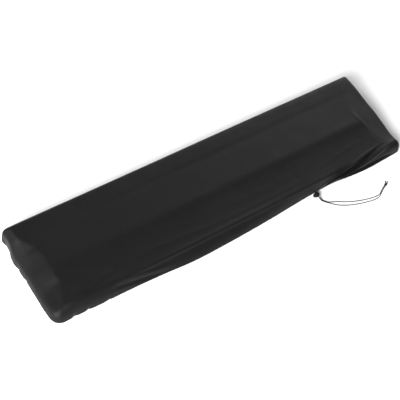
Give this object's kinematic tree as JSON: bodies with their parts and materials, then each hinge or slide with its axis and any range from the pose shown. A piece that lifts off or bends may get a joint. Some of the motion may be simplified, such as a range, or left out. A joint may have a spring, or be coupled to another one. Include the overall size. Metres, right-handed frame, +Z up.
{
  "type": "musical keyboard dust cover",
  "caption": "Hollow stretch-knit cover fitted over a musical keyboard, its hem drawn in by a cord that ends in a sprung cord lock, a knot and free tails.",
  "frame": {"origin": "just under the cloth of the top at the middle of the plan, where the covered keyboard carries it", "axes": "+X along the cover's length towards its right end, +Y towards its back, +Z up"},
  "size_m": [1.3851, 0.4536, 0.0845],
  "materials": {
    "knit": "black stretch knit, satin sheen",
    "lock_plastic": "black moulded plastic",
    "button_plastic": "black moulded plastic",
    "cord": "black braided elastic cord"
  },
  "bodies": {
    "cover": {"cover_cloth": "knit", "cord_lock_barrel": "lock_plastic", "draw_cord_left": "cord", "draw_cord_right": "cord", "cord_knot": "cord", "cord_tail_left": "cord", "cord_tail_right": "cord"},
    "lock_button": {"cord_lock_button": "button_plastic"}
  },
  "joints": [
    {"name": "button_press", "type": "slide", "parent": "cover", "child": "lock_button", "axis": [1, 0, 0], "range_m": [0, 0.004], "stiffness_N_per_m": 1200}
  ]
}
